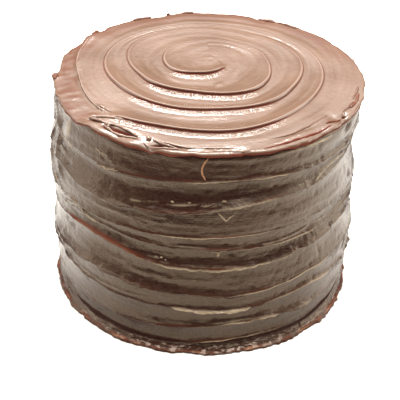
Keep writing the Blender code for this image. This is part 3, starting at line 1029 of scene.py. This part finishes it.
icing_curls = lay_beads("icing_curls", on_top, BEADS)
icing_threads = lay_beads("icing_threads", on_side, THREADS)

# %% [markdown]
# ## Centring
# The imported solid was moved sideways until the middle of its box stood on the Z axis. The
# skin is moved in the same way, so that the two lie over each other.

# %% Centre the skin as the solid is centred


def skin_box():
    """Lowest and highest corner of the whole skin."""
    places = [vert.co for piece in pieces.values() for vert in piece.data.vertices]
    low = Vector([min(place[axis] for place in places) for axis in range(3)])
    high = Vector([max(place[axis] for place in places) for axis in range(3)])
    return low, high


skin_low, skin_high = skin_box()
shift = (skin_low + skin_high) * -0.5
shift.z = 0.0
for piece in pieces.values():
    piece.data.transform(Matrix.Translation(shift))
print("skin moved by", [round(value / MM, 2) for value in shift], "mm")

# %% [markdown]
# ## The finish
# Soft chocolate icing is a dark, warm brown that shines without being a mirror. Colour comes
# from cocoa and varies only a little, but the top is painted lighter than the side, as lit and
# shaded copies of one icing, and painted highlights and shade lie on lips, ridges and creases.
# Roughness changes with how smooth the knife left it. Blender nodes are joined here with
# ordinary sums: one small class wraps a socket.

# %% Sums on sockets


class Tone:
    """A value or colour in a finish, which can be added to and multiplied."""

    def __init__(self, finish, socket):
        self.finish = finish
        self.socket = socket

    def sum_with(self, operation, first, second):
        return self.finish.node("ShaderNodeMath", {"operation": operation}, {0: first, 1: second})

    def __add__(self, other):
        return self.sum_with("ADD", self, other)

    def __sub__(self, other):
        return self.sum_with("SUBTRACT", self, other)

    def __rsub__(self, other):
        return self.sum_with("SUBTRACT", other, self)

    def __mul__(self, other):
        return self.sum_with("MULTIPLY", self, other)

    __radd__ = __add__
    __rmul__ = __mul__


class Finish:
    """A material and the one way nodes are put in it."""

    def __init__(self, name):
        self.material = bpy.data.materials.new(name)
        self.material.use_nodes = True
        self.tree = self.material.node_tree
        self.shader = self.tree.nodes["Principled BSDF"]

    def node(self, kind, settings=None, inputs=None, output=0):
        made = self.tree.nodes.new(kind)
        for name, value in (settings or {}).items():
            setattr(made, name, value)
        for name, value in (inputs or {}).items():
            self.feed(made.inputs[name], value)
        return Tone(self, made.outputs[output])

    def feed(self, socket, value):
        if isinstance(value, Tone):
            self.tree.links.new(value.socket, socket)
        else:
            socket.default_value = value

    def coat(self, values):
        """Set or join several inputs of the main shader."""
        for name, value in values.items():
            self.feed(self.shader.inputs[name], value)

    def place(self):
        """Where a point of the object lies, in metres."""
        return self.node("ShaderNodeTexCoord", output=3)

    def mark(self, name):
        """One of the marks kept on the vertices."""
        return self.node("ShaderNodeAttribute", {"attribute_name": name}, output=2)

    def part(self, vector, axis):
        """The x, y or z of a vector."""
        return self.node("ShaderNodeSeparateXYZ", None, {0: vector}, output=axis)

    def vector(self, operation, *values, output=0):
        return self.node("ShaderNodeVectorMath", {"operation": operation},
                         dict(enumerate(values)), output)

    def blend(self, factor, first, second):
        """Mix two colours."""
        return self.node("ShaderNodeMix", {"data_type": "RGBA", "clamp_factor": True},
                         {0: factor, 6: first, 7: second}, output=2)

    def spread(self, value, low, high, to_low=0.0, to_high=1.0):
        """Map a range of a value to another, and stop at its ends."""
        return self.node("ShaderNodeMapRange", {"clamp": True},
                         {0: value, 1: low, 2: high, 3: to_low, 4: to_high})

    def dull_coat(self, factor, colour):
        """Where the factor is 1, the icing has this colour and no shine."""
        dull = self.node("ShaderNodeBsdfPrincipled", None,
                         {"Base Color": colour, "Roughness": 0.9, "Specular IOR Level": 0.0})
        shiny = Tone(self, self.shader.outputs[0])
        mixed = self.node("ShaderNodeMixShader", None, {0: factor, 1: shiny, 2: dull})
        self.feed(self.tree.nodes["Material Output"].inputs["Surface"], mixed)

    def grain(self, vector, scale, detail=3.0, roughness=0.5):
        return self.node("ShaderNodeTexNoise", {"noise_dimensions": "3D"},
                         {"Vector": vector, "Scale": scale, "Detail": detail,
                          "Roughness": roughness})

    def relief(self, height, strength, distance):
        """Fine unevenness that only the light sees."""
        return self.node("ShaderNodeBump", None,
                         {"Strength": strength, "Distance": distance, "Height": height})


# %% [markdown]
# ### The side
# Drag lines run level round the side, so the noise is stretched that way on object
# coordinates. Ridge crests and threads carry a painted highlight, a thin redder line lies above
# each ridge, and creases carry painted shade. The far right, seen edge-on, is duller in the
# photograph, so the shine fades out there.

# %% Finish of the side
# The side's browns are a shaded, darker copy of the top's icing: painted shade.
SIDE_SHADED_DARK = (0.019, 0.0055, 0.0045, 1.0)
SIDE_SHADED_BROWN = (0.038, 0.0180, 0.0105, 1.0)
RIDGE_HIGHLIGHT = (0.260, 0.195, 0.125, 1.0)
WARM_BROWN = (0.075, 0.019, 0.011, 1.0)
TAN_BROWN = (0.270, 0.125, 0.066, 1.0)
CRUMB_GLINT = (0.420, 0.320, 0.260, 1.0)
SIDE_SHINE = (1.0, 0.83, 0.60, 1.0)
ICING_IOR = 1.5
DRAG_LINES = (60.0, 60.0, 1100.0)
FINE_LINES = (200.0, 200.0, 3600.0)
FLECK_LINES = (22.0, 22.0, 0.0)
LEVEL_ONLY = (1.0, 1.0, 0.0)


def side_finish():
    icing = Finish("side_icing")
    place = icing.place()
    light_and_shade, warm, wet = (icing.mark(name) for name in MARKS)
    lines = icing.grain(icing.vector("MULTIPLY", place, DRAG_LINES), 1.0, 4.0, 0.6)
    fine = icing.grain(icing.vector("MULTIPLY", place, FINE_LINES), 1.0, 3.0, 0.6)
    clouds = icing.grain(place, 28.0)
    pits = icing.grain(place, 1100.0, 2.0)
    mottle = icing.grain(place, 330.0, 3.0, 0.6)
    grain = icing.grain(place, 620.0, 4.0, 0.7)
    tone = icing.spread(0.25 * clouds + 0.2 * lines + 0.55 * grain, 0.38, 0.66)
    brown = icing.blend(tone, SIDE_SHADED_DARK, SIDE_SHADED_BROWN)
    brown = icing.blend(icing.spread(warm, 0.0, 0.5), brown, WARM_BROWN)
    brown = icing.blend(icing.spread(warm, 0.5, 1.0), brown, TAN_BROWN)
    # Painted shade in creases and in the crease above the foot.
    shade = icing.spread(light_and_shade, -0.8, -0.1, 0.9, 0.0)
    brown = icing.blend(shade, brown, SIDE_SHADED_DARK)
    # Painted highlight on ridge crests and light threads.
    edge = icing.spread(light_and_shade + 0.5 * (grain - 0.5), 0.25, 1.0, 0.0, 0.9)
    brown = icing.blend(edge, brown, RIDGE_HIGHLIGHT)
    level = icing.vector("MULTIPLY", place, LEVEL_ONLY)
    out = icing.vector("LENGTH", level, output=1)
    layer = 500.0 * out + 1500.0 * icing.part(place, 2)
    layer = icing.node("ShaderNodeCombineXYZ", None, {2: layer})
    slow = icing.vector("MULTIPLY", icing.vector("NORMALIZE", level), FLECK_LINES)
    streaks = icing.grain(icing.vector("ADD", slow, layer), 1.0, 3.0, 0.6)
    # Painted glints: light flecks on the crumbs at the foot and on the brightest threads.
    glint_flecks = wet * icing.spread(streaks, 0.54, 0.62)
    brown = icing.blend(glint_flecks, brown, CRUMB_GLINT)
    grazing = icing.node("ShaderNodeLayerWeight", None, {"Blend": 0.5}, output=1)
    right = icing.spread(icing.part(place, 0), 0.04, 0.07)
    edge_on = right * icing.spread(grazing, 0.72, 0.95, 0.0, 0.7)
    icing.dull_coat(icing.spread(warm + shade + edge_on, 0.0, 0.6, 0.0, 0.85), brown)
    rough = icing.spread(0.6 * lines + 0.4 * clouds, 0.3, 0.7, 0.16, 0.30) - 0.1 * wet
    relief = 0.3 * lines + 0.15 * fine + 0.25 * pits + 0.8 * mottle
    icing.coat({"Base Color": brown, "Roughness": rough, "IOR": ICING_IOR,
                "Specular Tint": SIDE_SHINE, "Normal": icing.relief(relief, 0.7, 0.0006)})
    return icing.material


side_icing = side_finish()
pieces["icing_side"].data.materials.append(side_icing)
pieces["icing_threads"].data.materials.append(side_icing)

# %% [markdown]
# ### The top
# The top is the same icing, painted as a lit, lighter copy of the side's brown: painted light.
# Its drag lines run round the middle of the stroke: the distance from the middle is quick in the
# noise, and the direction is slow. Lips, pockets and the back carry painted shade, crests a
# painted highlight.

# %% Finish of the top
# The top's browns are a lit, lighter copy of the side's icing: painted light.
TOP_LIT_BROWN = (0.102, 0.056, 0.035, 1.0)
TOP_LIT_PALE = (0.143, 0.082, 0.053, 1.0)
LIP_SHADE_BROWN = (0.080, 0.016, 0.011, 1.0)
RIM_BROWN = (0.105, 0.030, 0.020, 1.0)
TOP_SHINE = (1.0, 0.96, 0.90, 1.0)
CREST_HIGHLIGHT = (0.245, 0.168, 0.132, 1.0)


def top_finish():
    icing = Finish("top_icing")
    place = icing.place()
    light_and_shade, warm, wet = (icing.mark(name) for name in MARKS)
    from_middle = icing.vector("SUBTRACT", place, (STROKE_START_X, 0.6 * STROKE_START_Y, RIM_LEVEL))
    distance = icing.vector("LENGTH", from_middle, output=1)
    slow = icing.vector("MULTIPLY", icing.vector("NORMALIZE", from_middle), (2.2, 2.2, 0.0))
    rings = icing.node("ShaderNodeCombineXYZ", None, {0: distance * 420.0})
    lines = icing.grain(icing.vector("ADD", slow, rings), 1.0, 4.0, 0.55)
    clouds = icing.grain(place, 32.0)
    pits = icing.grain(place, 900.0, 2.0)
    mottle = icing.grain(place, 430.0, 3.0, 0.65)
    tone = icing.spread(0.6 * clouds + 0.4 * lines, 0.35, 0.65)
    brown = icing.blend(tone, TOP_LIT_BROWN, TOP_LIT_PALE)
    # Painted shade on lips, pockets, the rim's underside and the back, in a dull dark brown.
    edge = icing.spread(light_and_shade, 0.05, 0.65, 0.0, 0.95)
    brown = icing.blend(edge, brown, icing.blend(warm, LIP_SHADE_BROWN, RIM_BROWN))
    # Painted highlight on lip crests and light beads.
    crest = icing.spread(light_and_shade, -0.6, -0.1, 0.8, 0.0)
    brown = icing.blend(crest, brown, CREST_HIGHLIGHT)
    icing.dull_coat(icing.spread(edge + 0.5 * crest, 0.0, 0.7), brown)
    rough = icing.spread(0.5 * lines + 0.5 * clouds, 0.3, 0.7, 0.12, 0.26) - 0.06 * wet
    relief = 0.5 * lines + 0.3 * pits + 0.5 * mottle + 1.4 * pits * wet
    icing.coat({"Base Color": brown, "Roughness": rough, "IOR": ICING_IOR,
                "Specular Tint": TOP_SHINE, "Normal": icing.relief(relief, 0.55, 0.0004)})
    return icing.material


top_icing = top_finish()
pieces["icing_top"].data.materials.append(top_icing)
pieces["icing_curls"].data.materials.append(top_icing)

# %% [markdown]
# ## Floor and light
# A plain pale floor and soft light. Most of the light comes from above and a little behind,
# which leaves the top bright and the side dark, and draws white streaks in the troughs that
# face it. The sky is dim near the horizon, so the ridges of the side stand out.

# %% Floor
FLOOR_RADIUS = 2.2
STAGE_PALE = (0.83, 0.80, 0.74, 1.0)
STAGE_ROUGH = 0.9

floor_bm = bmesh.new()
bmesh.ops.create_circle(floor_bm, cap_ends=True, segments=96, radius=FLOOR_RADIUS)
floor = built("floor", floor_bm)
floor_paint = Finish("floor_paint")
floor_paint.coat({"Base Color": STAGE_PALE, "Roughness": STAGE_ROUGH})
floor.data.materials.append(floor_paint.material)

# %% [markdown]
# In front of the cake the room is darker. A dark sheet stands in for that shade: it lies on the
# floor there, pale at its near edge and dark further out, and only the icing mirrors it, as a
# painted reflection of shade: a stretch of the side that turns up a little then shows dark, as it
# does in the photograph.

# %% Dark sheet, mirrored as painted shade
# A dark sheet that only the icing mirrors: a painted reflection of the dark room in front.
REFLECTOR_NEAR = -0.16
REFLECTOR_FAR = -0.33
REFLECTOR_LEFT_NEAR = -0.10
REFLECTOR_LEFT_FAR = -0.25
REFLECTOR_LEFT_SHADE = 0.7
REFLECTOR_REACH = 1.5
REFLECTOR_LIFT = 0.2 * MM
REFLECTED_DARK = (0.10, 0.07, 0.06, 1.0)

reflector_bm = bmesh.new()
bmesh.ops.create_grid(reflector_bm, x_segments=2, y_segments=2, size=REFLECTOR_REACH)
bmesh.ops.translate(reflector_bm, verts=reflector_bm.verts, vec=(0.0, 0.0, REFLECTOR_LIFT))
shade_reflector = built("shade_reflector", reflector_bm)
shade_reflector.visible_camera = False
shade_reflector.visible_diffuse = False
shade_reflector.visible_shadow = False
reflector_paint = Finish("reflector_paint")
reflector_place = reflector_paint.place()
fade = reflector_paint.spread(reflector_paint.part(reflector_place, 1), REFLECTOR_FAR, REFLECTOR_NEAR)
fade = fade * reflector_paint.spread(
    reflector_paint.part(reflector_place, 0), REFLECTOR_LEFT_FAR, REFLECTOR_LEFT_NEAR, REFLECTOR_LEFT_SHADE, 1.0)
reflector_colour = reflector_paint.blend(fade, REFLECTED_DARK, STAGE_PALE)
reflector_paint.coat({"Base Color": reflector_colour, "Roughness": STAGE_ROUGH})
shade_reflector.data.materials.append(reflector_paint.material)

# %% [markdown]
# Four soft lamps light the cake: a wide one overhead, a narrow one behind that draws the white
# streaks on the top, and a window at each side, the stronger one at the right.

# %% Lights
WHITE = (1.0, 1.0, 1.0)
DAYLIGHT = (1.0, 0.95, 0.86)
LAMPS = (
    # name, place, what it is aimed at, size, power, colour
    ("overhead", (0.0, 0.02, 0.95), (0.0, 0.0, 0.1), (0.90, 0.60), 9.0, WHITE),
    ("behind", (-0.05, 0.66, 0.92), (0.0, 0.0, 0.12), (0.36, 0.16), 15.0, WHITE),
    ("window_left", (-1.0, 0.0, 0.35), (0.0, 0.0, 0.08), (0.6, 0.5), 3.5, DAYLIGHT),
    ("window_right", (1.0, 0.1, 0.35), (0.0, 0.0, 0.08), (0.6, 0.5), 6.0, DAYLIGHT),
)
for name, place, target, size, power, colour in LAMPS:
    lamp = bpy.data.lights.new(name, "AREA")
    lamp.shape = "RECTANGLE"
    lamp.size, lamp.size_y = size
    lamp.energy = power
    lamp.color = colour
    aim(linked(name, lamp), Vector(place), Vector(target))
    print(name, "size", size, "power", power)

# %% [markdown]
# The sky is bright overhead and behind the cake, where the top mirrors it, and dark in front,
# where a room would be. The side is seen from above, so its level parts mirror the pale
# floor and its up-turned parts mirror the dark room: that is what draws the bands.

# %% Sky
SKY_FRONT = 0.05
SKY_OVERHEAD = 1.2
SKY_BACK = 2.45

world = bpy.data.worlds.new("soft_sky")
bpy.context.scene.world = world
world.use_nodes = True


class Sky(Finish):
    """The world's nodes, made the same way as a finish."""

    def __init__(self):
        self.tree = world.node_tree


sky = Sky()
look = sky.node("ShaderNodeTexCoord")
backward = sky.part(look, 1)
upward = sky.part(look, 2)
overhead = sky.spread(upward, 0.60, 0.90, 0.0, SKY_OVERHEAD)
around = sky.spread(backward, -0.62, -0.35) * sky.spread(upward, 0.415, 0.47, 0.1, SKY_BACK)
sky_light = world.node_tree.nodes["Background"]
sky_light.inputs["Color"].default_value = (*WHITE, 1.0)
sky.feed(sky_light.inputs["Strength"], overhead + around + SKY_FRONT)
bpy.context.scene.view_settings.view_transform = "Standard"
